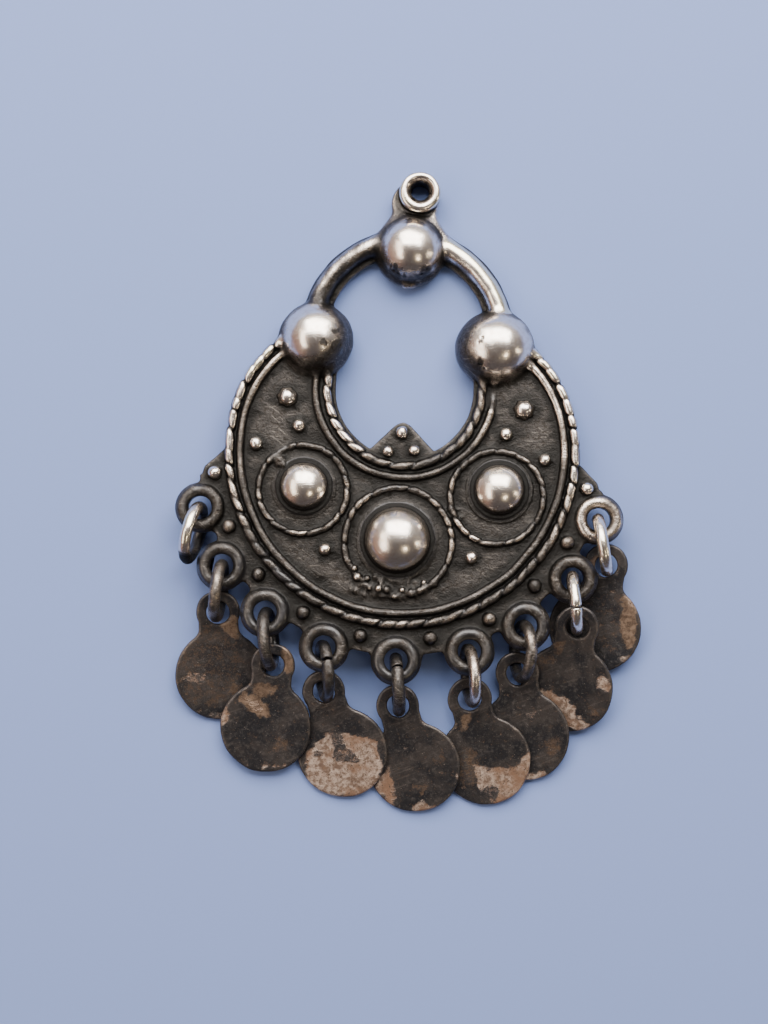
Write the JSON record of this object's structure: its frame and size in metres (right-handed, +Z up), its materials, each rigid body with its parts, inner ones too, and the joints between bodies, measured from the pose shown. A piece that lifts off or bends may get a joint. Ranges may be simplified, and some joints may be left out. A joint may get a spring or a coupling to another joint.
{
  "type": "silver pendant",
  "caption": "Cast silver crescent pendant with an arch, a hanging eye, domed bosses, twisted wire borders and keyhole-shaped sheet drops on jump rings.",
  "frame": {"origin": "middle of the whole object's box, on the surface that it lies on", "axes": "+Y from the drops to the hanging eye, along the longest extent, +Z up, out of the front, along the shortest extent"},
  "size_m": [0.0524, 0.0714, 0.0084],
  "materials": {
    "cast_silver": "cast silver, polished on the balls and bosses and dark with tarnish in the ground",
    "ring_wire": "drawn silver wire, worn bright on some rings and grey on others",
    "drop_sheet": "hammered silver sheet with charcoal tarnish and bare pinkish tan patches"
  },
  "bodies": {
    "root": {"pendant_body": "cast_silver", "jump_ring_1": "ring_wire", "jump_ring_2": "ring_wire", "jump_ring_3": "ring_wire", "jump_ring_4": "ring_wire", "jump_ring_5": "ring_wire", "jump_ring_6": "ring_wire", "jump_ring_7": "ring_wire", "jump_ring_8": "ring_wire", "jump_ring_9": "ring_wire", "drop_2": "drop_sheet", "drop_3": "drop_sheet", "drop_4": "drop_sheet", "drop_5": "drop_sheet", "drop_6": "drop_sheet", "drop_7": "drop_sheet", "drop_8": "drop_sheet", "drop_9": "drop_sheet"}
  },
  "joints": []
}
